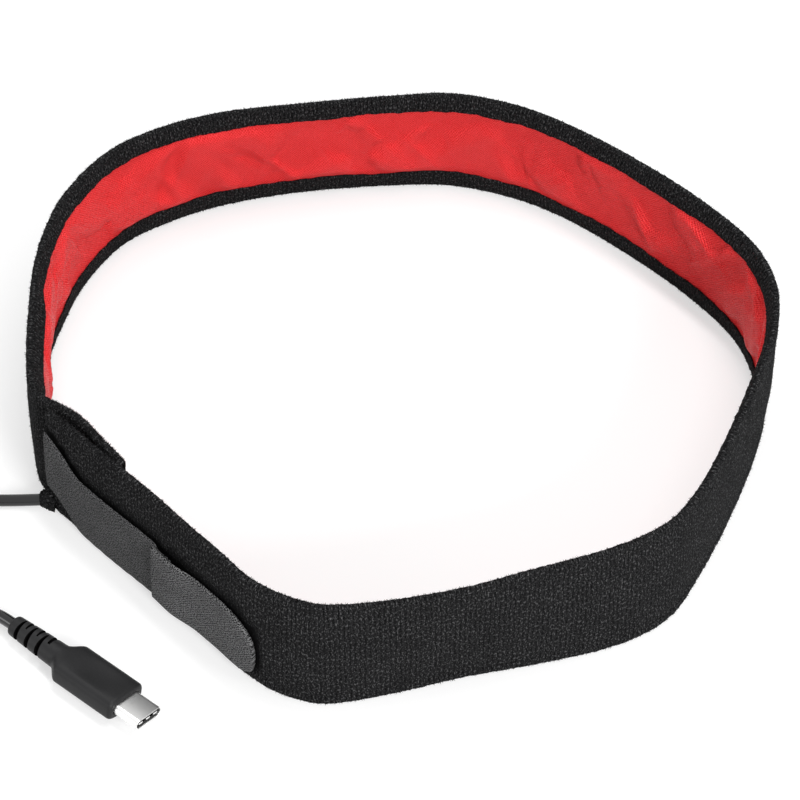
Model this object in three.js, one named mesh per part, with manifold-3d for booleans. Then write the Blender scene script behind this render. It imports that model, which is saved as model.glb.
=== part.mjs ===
// Dew heater strip: a knit band standing on edge in a loop, closed by an elastic strap with a hook tab,
// with a power cord that ends in a type-C plug. Millimetres, +Z up, the band stands on z = 0.
import * as THREE from "three";
import { mergeVertices } from "three/addons/utils/BufferGeometryUtils.js";
import Module from "manifold-3d";

const wasm = await Module();
wasm.setup();

// Band
const bandHeight = 33;
const coverWall = 0.7;
const hemThickness = 0.4;
const hemDepth = 6.2;
const edgeRounding = 0.45;
const tailGap = 0.35;
const tailStandoff = 1.8;
const stationStep = 6.5;

// Layers inside the band, and the length of it that they fill
const layerGap = 0.1;
const wireGap = 0.15;
const padThickness = 0.45;
const filmThickness = 0.12;
const wireThickness = 0.22;
const linerThickness = 0.25;
const linerTuck = 1.4;
const linerEndGap = 2;
const layerEndGap = 1;
const heatedFrom = 52;
const heatedToTail = 38;
const swellRun = 12;

// Heating wire, its joints and leads, and the thicker stretch that holds them
const wireWidth = 0.9;
const wireRuns = 4;
const wirePitch = 5;
const wireEndGap = 6;
const terminalRun = 24;
const terminalBulge = 1.2;
const jointDiameter = 1.5;
const jointLength = 6;
const leadDiameter = 1.1;
const leadGap = 0.3;
const leadTail = 5.5;

// Strap and hook tab
const strapWidth = 19;
const strapThickness = 0.8;
const strapLow = 0.9;
const strapRootLift = 7.4;
const strapLiftRun = [6, 20];
const strapFrom = 6.5;
const strapGap = 0.3;
const tabWidth = 18.2;
const tabThickness = 1.1;
const tabLow = 2;
const tabLength = 34;
const tabOverlap = 5;
const tabTopRadius = 9;
const tabLowRadius = 4.5;
const tabEndDistance = 80.5;

// Cord, its coil and the sleeve where it leaves the band
const cordDiameter = 3;
const cordSides = 8;
const jointGap = 0.3;
const coilOuterRadius = 26;
const coilInnerRadius = 13.5;
const coilHeight = 12.5;
const coilCentre = new THREE.Vector3(-137, -53.2, 0);
const sleeveDiameter = 3.5;
const sleeveLength = 3.8;
const sleeveInner = new THREE.Vector3(-84.6, -28.8, 1.75);
const notchClearance = 0.3;

// Plug, along its own x from the front of the moulded body
const shellWidth = 8.34;
const shellHeight = 2.56;
const shellWall = 0.3;
const shellExposed = 6.8;
const shellSunk = 3.4;
const bodyWidth = 11.3;
const bodyHeight = 5.8;
const bodyLength = 17.3;
const bodyEdge = 1;
const dishDepth = 0.35;
const shoulderLength = 3.7;
const reliefLength = 14.4;
const reliefRearDiameter = 5;
const reliefFrontDiameter = 6.6;
const reliefCoreDiameter = 3.6;
const firstSlot = 2.7;
const slotWidth = 0.9;
const slotPitch = 3.5;
const slotCount = 3;
const mouldClearance = 0.12;
const slotPastCentre = 0.7;
const insertClearance = 0.08;
const insertSetback = 0.3;
const tongueSlotWidth = 6.9;
const tongueSlotHeight = 0.8;
const tongueSlotDepth = 5.6;
const contactWidth = 0.35;
const contactThickness = 0.2;
const contactLength = 4.4;
const contactPlaces = [-1.25, 0.75, 2.75];
const springWidth = 1.3;
const springPitch = 2.3;
const springThickness = 0.12;
const springBase = 6;
const springLength = 2.2;
const springInset = 1.2;
const mouldSides = 28;
const boardWidth = 7;
const boardThickness = 0.6;
const boardLength = 5;
const boardRoom = 0.3;
const plugTurn = THREE.MathUtils.degToRad(-38.5);
const plugRoll = THREE.MathUtils.degToRad(-14);
const plugFront = new THREE.Vector3(-63, -90.9, 3.6);
const plugRearGap = bodyLength + shoulderLength + reliefLength + jointGap;
const plugRear = [
  plugFront.x - plugRearGap * Math.cos(plugTurn),
  plugFront.y - plugRearGap * Math.sin(plugTurn),
  plugFront.z,
];

// The band's outer face at its foot, from the outer end round the front, the right, the back and the left
// side to the corner again: x, y and how far the top edge leans inwards. The lap is hand in hand with the
// hidden end, which lies inside it.
const lapRoute = [
  [-86.2, -29.6, 1.9],
  [-81.9, -33.9, 2.1],
  [-74.9, -41.2, 2.3],
  [-68.7, -47.4, 2.3],
];
const loopRoute = [
  [-60, -55.8, 2.2],
  [-51.7, -64.9, 2.2],
  [-43.2, -73.4, 1.9],
  [-36.8, -80, 1.7],
  [-29.2, -85.6, 2.2],
  [-20, -88.7, 2],
  [-13.3, -88.3, 1.4],
  [-0.3, -85.3, 0],
  [13.7, -81.3, -0.8],
  [28.1, -78.2, 0.9],
  [45.5, -73.6, 2.1],
  [55.1, -69.5, 2.4],
  [63.1, -63.3, 1.9],
  [70.1, -52.2, 0.9],
  [78, -36.7, 0.9],
  [87, -15.1, 1],
  [91, -1, 0.2],
  [91.2, 14.3, -1.2],
  [87.5, 27.9, -1.3],
  [77.8, 42.7, -0.8],
  [63.9, 58.1, -0.2],
  [45.3, 74.7, 0.6],
  [30.6, 83.3, 0.4],
  [13.3, 88.5, 0.6],
  [-1, 88.7, 1.5],
  [-27.3, 86, 2.2],
  [-50.6, 80.2, 0.6],
  [-66.6, 72.4, -0.3],
  [-77.4, 63.9, -0.4],
  [-86.9, 47.3, -0.8],
  [-91.2, 32, -0.3],
  [-93.4, 20, 0.9],
  [-93.4, 6, 1.3],
  [-92.5, -8, 1.3],
  [-91, -18.5, 1.4],
  [-88.6, -24, 1.6],
];

// The cord's route where it isn't coiled: from the sleeve to the coil, and from the coil to the plug
const cordOut = [
  [-88.7, -28.8, 1.75],
  [-95, -28.9, 1.55],
  [-104, -28.9, 1.55],
  [-114, -28.9, 1.55],
  [-123.6, -28.9, 1.55],
];
const cordBack = [
  [-113, -67.4, 6.4],
  [-107, -64.6, 3.2],
  [-101, -63.2, 2.2],
  [-95.6, -65.1, 3.2],
  plugRear,
];

const hemFold = linerThickness + 2 * layerGap;
const edgeThickness = coverWall + hemFold + hemThickness;
const heaterStack = padThickness + filmThickness + wireThickness + layerGap + 2 * wireGap;

function standard(color, roughness, metalness = 0) {
  return new THREE.MeshStandardMaterial({ color, roughness, metalness });
}

const knitBlack = standard(0x1f1f21, 0.95);
const satinRed = standard(0xc81e26, 0.55);
const feltGrey = standard(0x6d6a66, 0.95);
const filmAmber = standard(0xb5651d, 0.4);
const wireSteel = standard(0x9a948c, 0.45, 0.9);
const solderGrey = standard(0xb9bbbd, 0.4, 0.9);
const elasticGrey = standard(0x4b4b4d, 0.9);
const hookGrey = standard(0x565658, 0.85);
const leadRed = standard(0xa01218, 0.5);
const leadBlack = standard(0x151516, 0.5);
const cordBlack = standard(0x131314, 0.4);
const mouldBlack = standard(0x2f2f31, 0.7);
const nickel = standard(0xc4c4c2, 0.3, 1);
const insertBlack = standard(0x0d0d0e, 0.5);
const contactGold = standard(0xd4af5a, 0.3, 1);
const boardGreen = standard(0x1f5a34, 0.6);

function named(name, geometry, material) {
  const mesh = new THREE.Mesh(geometry, material);
  mesh.name = name;
  return mesh;
}

// Stations of a route: points on its curve with the outward direction, the lean and the distance run
function stationsOf(route) {
  const curve = new THREE.CatmullRomCurve3(route.map((p) => new THREE.Vector3(...p)), false, "centripetal");
  const last = route.length - 1;
  const places = [];
  for (let i = 0; i < last; i += 1) {
    const span = Math.hypot(route[i + 1][0] - route[i][0], route[i + 1][1] - route[i][1]);
    const steps = Math.max(1, Math.round(span / stationStep));
    for (let k = 0; k < steps; k += 1) places.push((i + k / steps) / last);
  }
  places.push(1);
  let run = 0;
  let before = curve.getPoint(0);
  return places.map((t) => {
    const p = curve.getPoint(t);
    const along = curve.getTangent(t).setZ(0).normalize();
    run += Math.hypot(p.x - before.x, p.y - before.y);
    before = p;
    return { x: p.x, y: p.y, outX: along.y, outY: -along.x, lean: p.z, run };
  });
}

// The station at a given distance, on the straight between its two neighbours
function stationAt(stations, run) {
  const found = stations.findIndex((station) => station.run >= run);
  const after = Math.max(1, found < 0 ? stations.length - 1 : found);
  const a = stations[after - 1];
  const b = stations[after];
  const part = (run - a.run) / (b.run - a.run);
  const mix = (key) => a[key] + (b[key] - a[key]) * part;
  return { x: mix("x"), y: mix("y"), outX: mix("outX"), outY: mix("outY"), lean: mix("lean"), run };
}

function stationsBetween(stations, start, end) {
  const inside = stations.filter((station) => station.run > start + 0.2 && station.run < end - 0.2);
  return [stationAt(stations, start), ...inside, stationAt(stations, end)];
}

// A point that lies out from a route's face and up from the foot
function placeAt(station, out, up) {
  const shift = out - (station.lean * up) / bandHeight;
  return [station.x + station.outX * shift, station.y + station.outY * shift, up];
}

// A route moved outwards by a distance, point by point
function movedRoute(route, outward) {
  const curve = new THREE.CatmullRomCurve3(route.map((p) => new THREE.Vector3(...p)), false, "centripetal");
  return route.map(([x, y, lean], i) => {
    const along = curve.getTangent(i / (route.length - 1)).setZ(0).normalize();
    return [x + along.y * outward, y - along.x * outward, lean];
  });
}

function signedVolume(geometry) {
  const corner = geometry.getAttribute("position");
  const index = geometry.getIndex();
  const [a, b, c] = [new THREE.Vector3(), new THREE.Vector3(), new THREE.Vector3()];
  let sum = 0;
  for (let i = 0; i < index.count; i += 3) {
    a.fromBufferAttribute(corner, index.getX(i));
    b.fromBufferAttribute(corner, index.getX(i + 1));
    c.fromBufferAttribute(corner, index.getX(i + 2));
    sum += a.dot(b.cross(c));
  }
  return sum;
}

// Joins rings of points, each ring closed, into one closed solid with flat ends. Every face is split from its
// lower corner on one ring to its upper corner on the next, so that layers of one twist stay clear of each other.
function loft(rings, outline) {
  const size = outline.length;
  const top = (rings.length - 1) * size;
  const index = [];
  for (let r = 0; r < rings.length - 1; r += 1) {
    for (let i = 0; i < size; i += 1) {
      const j = (i + 1) % size;
      const a = r * size + i;
      const b = r * size + j;
      const rising = outline[j][1] >= outline[i][1];
      index.push(...(rising ? [a, b, b + size, a, b + size, a + size] : [a, b, a + size, b, b + size, a + size]));
    }
  }
  const ends = THREE.ShapeUtils.triangulateShape(outline.map(([x, y]) => new THREE.Vector2(x, y)), []);
  const turned = THREE.ShapeUtils.area(outline.map(([x, y]) => ({ x, y }))) < 0;
  for (const end of ends) {
    const [a, b, c] = turned ? [end[0], end[2], end[1]] : end;
    index.push(a, c, b, top + a, top + b, top + c);
  }
  const geometry = new THREE.BufferGeometry();
  geometry.setAttribute("position", new THREE.Float32BufferAttribute(rings.flat(2), 3));
  geometry.setIndex(index);
  if (signedVolume(geometry) < 0) {
    for (let i = 0; i < index.length; i += 3) [index[i], index[i + 1]] = [index[i + 1], index[i]];
    geometry.setIndex(index);
  }
  geometry.computeVertexNormals();
  return geometry;
}

function sweep(stations, sectionAt) {
  const sections = stations.map((station) => sectionAt(station.run));
  const rings = sections.map((section, i) => section.map(([out, up]) => placeAt(stations[i], out, up)));
  return loft(rings, sections[0]);
}

function toSolid(geometry) {
  const bare = geometry.clone();
  bare.deleteAttribute("normal");
  bare.deleteAttribute("uv");
  const merged = mergeVertices(bare, 1e-4);
  const vertProperties = new Float32Array(merged.getAttribute("position").array);
  const triVerts = new Uint32Array(merged.getIndex().array);
  return new wasm.Manifold(new wasm.Mesh({ numProp: 3, vertProperties, triVerts }));
}

function cut(geometry, tools) {
  const solid = tools.reduce((left, tool) => left.subtract(toSolid(tool)), toSolid(geometry));
  const mesh = solid.getMesh();
  const result = new THREE.BufferGeometry();
  result.setAttribute("position", new THREE.Float32BufferAttribute(mesh.vertProperties, 3));
  result.setIndex(Array.from(mesh.triVerts));
  result.computeVertexNormals();
  return result;
}

function cylinderAlongX(diameter, length, sides) {
  return new THREE.CylinderGeometry(diameter / 2, diameter / 2, length, sides).rotateZ(Math.PI / 2);
}

function boxAt(length, width, height, x, y, z) {
  return new THREE.BoxGeometry(length, width, height).translate(x, y, z);
}

const rise = (value, from, to) => THREE.MathUtils.smoothstep(value, from, to);

// The hidden end repeats the lap's points one layer further in
const hiddenRoute = lapRoute.slice(1).map((_, i) => {
  const standoff = tailStandoff * (1 - i / (lapRoute.length - 2));
  return movedRoute(lapRoute, -(edgeThickness + tailGap + standoff))[i + 1];
});
const band = stationsOf([...lapRoute, ...loopRoute, ...hiddenRoute]);
const bandLength = band[band.length - 1].run;
const heatedTo = bandLength - heatedToTail;

// How far the band is filled at a distance: 0 in the flat ends, 1 where the heater lies
function fill(run) {
  return Math.min(rise(run, heatedFrom - swellRun, heatedFrom), 1 - rise(run, heatedTo, heatedTo + swellRun));
}

function bulge(run) {
  const start = heatedTo - terminalRun;
  return terminalBulge * Math.min(rise(run, start - swellRun, start), 1 - rise(run, heatedTo, heatedTo + swellRun));
}

function pocketAt(run) {
  return hemFold + heaterStack * fill(run) + bulge(run);
}

// Knit cover: outer wall with both long edges folded in as hems over the liner's edges
function coverSection(run) {
  const pocket = coverWall + pocketAt(run);
  const fold = coverWall + hemFold;
  const flat = hemDepth - linerTuck;
  const lower = [
    [-edgeRounding, 0],
    [-fold, 0],
    [-fold - hemThickness, edgeRounding],
    [-(fold + (pocket - fold) * 0.62) - hemThickness, flat * 0.6],
    [-pocket - hemThickness, flat],
    [-pocket - hemThickness, hemDepth],
    [-pocket, hemDepth],
    [-pocket, flat],
    [-(fold + (pocket - fold) * 0.62), flat * 0.6],
    [-fold, 2 * edgeRounding],
    [-coverWall, 2 * edgeRounding],
    [-coverWall, hemDepth],
  ];
  const upper = lower.map(([out, up]) => [out, bandHeight - up]).reverse();
  return [[0, edgeRounding], ...lower, ...upper, [0, bandHeight - edgeRounding]];
}

function makeCover() {
  const cover = sweep(band, coverSection);
  const notchLength = 3 * sleeveLength;
  const notch = cylinderAlongX(sleeveDiameter + 2 * notchClearance, notchLength, 16);
  notch.translate(sleeveInner.x - notchLength / 2 + 0.6, sleeveInner.y, sleeveInner.z);
  return cut(cover, [notch]);
}

// A layer that follows the cover's wall, its faces split at the same heights as the wall's
function flatLayer(start, end, depthAt, thickness, low, high) {
  const heights = low < hemDepth ? [low, hemDepth, bandHeight - hemDepth, high] : [low, high];
  return sweep(stationsBetween(band, start, end), (run) => {
    const near = -depthAt(run);
    const face = heights.map((up) => [near, up]);
    return [...face, ...face.map(([out, up]) => [out - thickness, up]).reverse()];
  });
}

function makeLiner() {
  const depthAt = (run) => coverWall + pocketAt(run) - layerGap - linerThickness;
  const low = hemDepth - linerTuck + layerGap;
  return flatLayer(linerEndGap, bandLength - linerEndGap, depthAt, linerThickness, low, bandHeight - low);
}

const padDepth = coverWall + layerGap;
const filmDepth = padDepth + padThickness + layerGap;
const wireMiddle = filmDepth + filmThickness + wireGap + wireThickness / 2;
const layerLow = hemDepth + layerGap;
const layerHigh = bandHeight - layerLow;

// A slim solid that follows a path of distance, height and depth in the band
function surfaceSweep(path, outline) {
  const rings = path.map(([run, up, depth], i) => {
    const [r0, u0] = path[Math.max(0, i - 1)];
    const [r1, u1] = path[Math.min(path.length - 1, i + 1)];
    const size = Math.hypot(r1 - r0, u1 - u0);
    const [acrossRun, acrossUp] = [-(u1 - u0) / size, (r1 - r0) / size];
    return outline.map(([across, out]) => {
      const station = stationAt(band, run + acrossRun * across);
      return placeAt(station, out - depth, up + acrossUp * across);
    });
  });
  return loft(rings, outline);
}

function roundOutline(diameter, sides) {
  return Array.from({ length: sides }, (_, i) => {
    const angle = (2 * Math.PI * (i + 0.5)) / sides;
    return [(Math.cos(angle) * diameter) / 2, (Math.sin(angle) * diameter) / 2];
  });
}

const wireStart = heatedTo - terminalRun - 1;
const wireEnd = heatedFrom + wireEndGap;
const wireFoot = bandHeight / 2 - ((wireRuns - 1) * wirePitch) / 2;

// Resistance wire: runs there and back along the band, joined by round turns
function wirePath() {
  const path = [];
  for (let row = 0; row < wireRuns; row += 1) {
    const up = wireFoot + row * wirePitch;
    const outward = row % 2 === 0;
    const [from, to] = row === 0 ? [wireStart, wireEnd] : [wireStart - wirePitch, wireEnd];
    const first = row === wireRuns - 1 ? wireStart : from;
    const straight = stationsBetween(band, to, row === wireRuns - 1 ? first : from).map((s) => [s.run, up, wireMiddle]);
    path.push(...(outward ? straight.reverse() : straight));
    if (row === wireRuns - 1) break;
    for (let k = 1; k < 6; k += 1) {
      const angle = (Math.PI * k) / 6;
      const reach = (Math.sin(angle) * wirePitch) / 2;
      const centre = outward ? wireEnd - reach : wireStart - wirePitch + reach;
      path.push([centre, up + ((1 - Math.cos(angle)) * wirePitch) / 2, wireMiddle]);
    }
  }
  return path;
}

function makeWire() {
  const half = wireWidth / 2;
  const thick = wireThickness / 2;
  const outline = [[-half, -thick], [half, -thick], [half, thick], [-half, thick]];
  return surfaceSweep(wirePath(), outline);
}

// Joints between the wire's two ends and the leads, and the leads down to the sleeve
const jointDepth = filmDepth + jointDiameter / 2;
const leadDepth = filmDepth + leadDiameter / 2;
const leadEndDepth = coverWall + layerGap + leadDiameter / 2;
const leadRestLow = 6.2;
const leadRestHigh = 8.4;
const leadSpans = 10;
const terminals = [
  { sign: "negative", up: wireFoot, material: leadBlack, rest: leadRestLow },
  { sign: "positive", up: wireFoot + (wireRuns - 1) * wirePitch, material: leadRed, rest: leadRestHigh },
];

function makeTerminal({ sign, up, material, rest }) {
  const jointStart = wireStart + leadGap;
  const jointEnd = jointStart + jointLength;
  const joint = surfaceSweep([[jointStart, up, jointDepth], [jointEnd, up, jointDepth]], roundOutline(jointDiameter, 8));
  const leadStart = jointEnd + leadGap;
  const leadEnd = heatedTo + leadTail;
  const path = Array.from({ length: leadSpans + 1 }, (_, i) => {
    const run = leadStart + ((leadEnd - leadStart) * i) / leadSpans;
    const sunk = rise(run, heatedTo + leadGap, leadEnd - leadGap);
    return [run, up + (rest - up) * rise(run, leadStart, leadEnd), leadDepth + (leadEndDepth - leadDepth) * sunk];
  });
  const lead = surfaceSweep(path, roundOutline(leadDiameter, 6));
  return [named(`joint_${sign}`, joint, solderGrey), named(`lead_${sign}`, lead, material)];
}

// Strap and hook tab lie on the outer face, outside the lap
const cornerPoint = loopRoute[loopRoute.length - 1];
const strapRoute = [
  movedRoute([loopRoute[loopRoute.length - 2], cornerPoint, lapRoute[0]], strapGap)[1],
  ...movedRoute([...lapRoute, ...loopRoute.slice(0, 6)], strapGap),
];
const strapStations = stationsOf(strapRoute);

function makeStrap() {
  const end = tabEndDistance - tabLength + tabOverlap;
  return sweep(stationsBetween(strapStations, strapFrom, end), (run) => {
    const low = strapLow + strapRootLift * (1 - rise(run, ...strapLiftRun));
    const high = low + strapWidth;
    return [[0, low], [0, high], [strapThickness, high], [strapThickness, low]];
  });
}

function makeTab() {
  const start = tabEndDistance - tabLength;
  const past = start + tabOverlap + strapGap;
  const over = strapThickness + strapGap;
  const bends = [0, 0.1, 0.25, 0.5, 1].map((part) => tabEndDistance - tabTopRadius * part);
  const stations = [
    ...stationsBetween(strapStations, start, tabEndDistance - tabTopRadius - 0.5),
    ...bends.reverse().map((run) => stationAt(strapStations, run)),
  ];
  const inset = (left, radius) => {
    const reach = Math.max(0, radius - left);
    return radius - Math.sqrt(radius * radius - reach * reach);
  };
  return sweep(stations, (run) => {
    const near = over * (1 - rise(run, past, past + 2 * tabOverlap));
    const low = tabLow + inset(tabEndDistance - run, tabLowRadius);
    const high = tabLow + tabWidth - inset(tabEndDistance - run, tabTopRadius);
    return [[near, low], [near, high], [near + tabThickness, high], [near + tabThickness, low]];
  });
}

// Cord: plain tubes along its free stretches and one ring for its coil
function cordTube(route, steps) {
  const curve = new THREE.CatmullRomCurve3(route.map((p) => new THREE.Vector3(...p)), false, "centripetal");
  const section = new THREE.Shape();
  roundOutline(cordDiameter, cordSides).forEach(([x, y], i) => (i === 0 ? section.moveTo(x, y) : section.lineTo(x, y)));
  return new THREE.ExtrudeGeometry(section, { steps, extrudePath: curve, bevelEnabled: false });
}

function makeCoil() {
  const soft = cordDiameter / 2;
  const profile = [
    [coilInnerRadius, soft],
    [coilInnerRadius + soft, 0],
    [coilOuterRadius - soft, 0],
    [coilOuterRadius, soft],
    [coilOuterRadius, coilHeight - soft],
    [coilOuterRadius - soft, coilHeight],
    [coilInnerRadius + soft, coilHeight],
    [coilInnerRadius, coilHeight - soft],
    [coilInnerRadius, soft],
  ];
  const ring = new THREE.LatheGeometry(profile.map(([x, y]) => new THREE.Vector2(x, y)), 40);
  return ring.rotateX(Math.PI / 2).translate(coilCentre.x, coilCentre.y, coilCentre.z);
}

function makeSleeve() {
  const sleeve = cylinderAlongX(sleeveDiameter, sleeveLength, 16);
  return sleeve.translate(sleeveInner.x - sleeveLength / 2, sleeveInner.y, sleeveInner.z);
}

// A stadium outline of the connector's section, across x and thick y
function stadium(width, height) {
  const radius = height / 2;
  const shape = new THREE.Shape();
  shape.absarc(width / 2 - radius, 0, radius, -Math.PI / 2, Math.PI / 2);
  shape.absarc(radius - width / 2, 0, radius, Math.PI / 2, (3 * Math.PI) / 2);
  return shape;
}

// Extrudes a section that is drawn across and thick, forward along x from a start
function extrudeForward(shape, start, length, curveSegments = 8) {
  const solid = new THREE.ExtrudeGeometry(shape, { depth: length, bevelEnabled: false, curveSegments });
  return solid.rotateZ(Math.PI / 2).rotateY(Math.PI / 2).translate(start, 0, 0);
}

// Moulded body, shoulders and strain relief in one: sections go from round to a rounded box
function mouldSection(x) {
  const rear = -bodyLength - shoulderLength - reliefLength;
  const shoulder = rise(x, -bodyLength - shoulderLength, -bodyLength);
  const along = THREE.MathUtils.clamp((x - rear) / reliefLength, 0, 1);
  const round = THREE.MathUtils.lerp(reliefRearDiameter, reliefFrontDiameter, along);
  const frontEdge = Math.max(0, x + bodyEdge) / bodyEdge;
  const shrink = bodyEdge * (1 - Math.sqrt(1 - frontEdge * frontEdge));
  const halfWidth = THREE.MathUtils.lerp(round, bodyWidth, shoulder) / 2 - shrink;
  const halfHeight = THREE.MathUtils.lerp(Math.min(round, bodyHeight), bodyHeight, shoulder) / 2 - shrink;
  const power = THREE.MathUtils.lerp(1, 0.5, shoulder);
  const dish = dishDepth * rise(x, -bodyLength, -bodyLength * 0.6) * (1 - rise(x, -bodyLength * 0.4, -1));
  return Array.from({ length: mouldSides }, (_, i) => {
    const angle = (2 * Math.PI * i) / mouldSides;
    const [c, s] = [Math.cos(angle), Math.sin(angle)];
    const across = halfWidth * Math.sign(c) * Math.abs(c) ** power;
    const hollow = dish * Math.max(0, 1 - (across / (halfWidth * 0.7)) ** 2);
    const up = (halfHeight - (Math.abs(s) > 0.3 ? hollow : 0)) * Math.sign(s) * Math.abs(s) ** power;
    return [x, across, up];
  });
}

function makeMould() {
  const rear = -bodyLength - shoulderLength - reliefLength;
  const relief = rear + reliefLength;
  const places = [
    rear,
    relief,
    ...[0.2, 0.4, 0.6, 0.8, 1].map((part) => relief + shoulderLength * part),
    ...[0.2, 0.4, 0.6, 0.8].map((part) => -bodyLength * (1 - part)),
    ...[1, 0.6, 0.3, 0.1, 0].map((part) => -bodyEdge * part),
  ];
  const rings = places.map(mouldSection);
  const body = loft(rings, rings[0].map(([, across, up]) => [across, up]));
  const slots = [];
  for (let k = 0; k < 2 * slotCount; k += 1) {
    const side = k % 2 === 0 ? -1 : 1;
    const x = rear + firstSlot + (k * slotPitch) / 2;
    const reach = bodyWidth / 2 + slotPastCentre;
    const slot = boxAt(slotWidth, reach, bodyHeight * 1.5, x, side * (reach / 2 - slotPastCentre), 0);
    slots.push(cut(slot, [cylinderAlongX(reliefCoreDiameter, 2 * slotWidth, 16).translate(x, 0, 0)]));
  }
  const seat = stadium(shellWidth + 2 * mouldClearance, shellHeight + 2 * mouldClearance);
  const socket = extrudeForward(seat, -shellSunk - jointGap, shellSunk + jointGap + 1);
  const room = boardLength + 2 * boardRoom;
  const recess = boxAt(room, boardWidth + 2 * boardRoom, shellHeight - 0.4, -shellSunk - jointGap - room / 2 + 0.1, 0, 0);
  return cut(body, [...slots, socket, recess]);
}

function makeShell() {
  const section = stadium(shellWidth, shellHeight);
  section.holes.push(stadium(shellWidth - 2 * shellWall, shellHeight - 2 * shellWall));
  return extrudeForward(section, -shellSunk, shellSunk + shellExposed);
}

const insertWidth = shellWidth - 2 * shellWall - 2 * insertClearance;
const insertHeight = shellHeight - 2 * shellWall - 2 * insertClearance;
const insertFront = shellExposed - insertSetback;

// Insulator inside the shell: tongue slot, grooves for the contacts, windows and seats for the springs
function makeInsert() {
  const block = extrudeForward(stadium(insertWidth, insertHeight), -shellSunk + 0.2, insertFront + shellSunk - 0.2);
  const tools = [boxAt(tongueSlotDepth + 1, tongueSlotWidth, tongueSlotHeight, insertFront - tongueSlotDepth / 2 + 0.5, 0, 0)];
  for (const side of [1, -1]) {
    const seatUp = side * (insertHeight / 2 - springThickness / 2);
    tools.push(boxAt(springLength + 0.4, springBase + 0.4, 2 * springThickness, insertFront - springLength / 2 - 0.7, 0, seatUp));
    for (const place of contactPlaces) {
      const up = side * (tongueSlotHeight / 2 + contactThickness / 2);
      const x = insertFront - tongueSlotDepth + contactLength / 2 + 0.2;
      tools.push(boxAt(contactLength + 0.2, contactWidth + 0.16, contactThickness + 0.1, x, side * place, up));
    }
  }
  return cut(block, tools);
}

function makeContact(side, place) {
  const up = side * (tongueSlotHeight / 2 + contactThickness / 2 - 0.02);
  const x = insertFront - tongueSlotDepth + contactLength / 2 + 0.2;
  return boxAt(contactLength, contactWidth, contactThickness, x, side * place, up);
}

// Ground spring: a cross strip with fingers that point back into the plug
function makeSpring(side) {
  const comb = new THREE.Shape();
  const half = springBase / 2;
  comb.moveTo(0, -half);
  for (const middle of [-springPitch, 0, springPitch]) {
    comb.lineTo(0, middle - springWidth / 2 + 0.2);
    comb.lineTo(-springLength + 0.6, middle - springWidth / 2 + 0.2);
    comb.lineTo(-springLength + 0.6, middle + springWidth / 2 - 0.2);
    comb.lineTo(0, middle + springWidth / 2 - 0.2);
  }
  comb.lineTo(0, half);
  comb.lineTo(0.6, half);
  comb.lineTo(0.6, -half);
  const plate = new THREE.ExtrudeGeometry(comb, { depth: springThickness, bevelEnabled: false });
  const up = side * (insertHeight / 2 - springThickness / 2) - springThickness / 2;
  return plate.translate(insertFront - springInset, 0, up);
}

function makeBoard() {
  return boxAt(boardLength, boardWidth, boardThickness, -shellSunk - jointGap - boardLength / 2 - boardRoom / 2, 0, 0);
}

function makePlug() {
  const plug = new THREE.Group();
  plug.add(named("plug_overmould", makeMould(), mouldBlack));
  plug.add(named("plug_shell", makeShell(), nickel));
  plug.add(named("plug_insert", makeInsert(), insertBlack));
  plug.add(named("plug_board", makeBoard(), boardGreen));
  for (const [row, side] of [["upper", 1], ["lower", -1]]) {
    plug.add(named(`ground_spring_${row}`, makeSpring(side), nickel));
    contactPlaces.forEach((place, i) => {
      plug.add(named(`contact_${row}_${i + 1}`, makeContact(side, place), contactGold));
    });
  }
  plug.rotation.set(plugRoll, 0, plugTurn, "ZYX");
  plug.position.copy(plugFront);
  return plug;
}

const strip = new THREE.Group();
const cover = named("outer_cover", makeCover(), knitBlack);
strip.add(cover);
strip.add(named("inner_liner", makeLiner(), satinRed));
const pad = flatLayer(heatedFrom, heatedTo, () => padDepth, padThickness, layerLow, layerHigh);
strip.add(named("insulation_pad", pad, feltGrey));
const film = flatLayer(heatedFrom + layerEndGap, wireStart, () => filmDepth, filmThickness, layerLow, layerHigh);
strip.add(named("heater_film", film, filmAmber));
strip.add(named("heating_wire", makeWire(), wireSteel));
for (const terminal of terminals) strip.add(...makeTerminal(terminal));
strip.add(named("elastic_strap", makeStrap(), elasticGrey));
strip.add(named("hook_tab", makeTab(), hookGrey));
strip.add(named("cord_sleeve", makeSleeve(), mouldBlack));
strip.add(named("cord_out", cordTube(cordOut, 9), cordBlack));
strip.add(named("cord_coil", makeCoil(), cordBlack));
strip.add(named("cord_back", cordTube(cordBack, 10), cordBlack));
strip.add(makePlug());

// The loop stands centred on the origin
const loopBox = new THREE.Box3().setFromObject(cover);
strip.position.x = -(loopBox.min.x + loopBox.max.x) / 2;
strip.position.y = -(loopBox.min.y + loopBox.max.y) / 2;

export default strip;
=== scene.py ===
import math

import bpy
import bmesh
import numpy as np
from mathutils import Matrix, Vector


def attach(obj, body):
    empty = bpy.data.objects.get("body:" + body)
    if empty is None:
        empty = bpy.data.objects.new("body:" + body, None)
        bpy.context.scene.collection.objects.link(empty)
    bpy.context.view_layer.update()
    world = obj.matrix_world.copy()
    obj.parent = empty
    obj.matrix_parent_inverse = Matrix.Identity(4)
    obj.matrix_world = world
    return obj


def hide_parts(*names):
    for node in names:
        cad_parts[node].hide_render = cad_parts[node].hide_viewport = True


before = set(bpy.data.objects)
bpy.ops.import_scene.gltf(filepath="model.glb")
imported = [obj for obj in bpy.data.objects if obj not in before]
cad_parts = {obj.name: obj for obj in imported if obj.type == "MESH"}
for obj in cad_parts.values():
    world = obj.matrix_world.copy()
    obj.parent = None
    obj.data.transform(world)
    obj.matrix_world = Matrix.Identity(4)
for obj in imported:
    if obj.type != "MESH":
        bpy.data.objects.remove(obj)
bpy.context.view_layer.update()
print("frame loaded:", len(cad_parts), "nodes")

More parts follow.
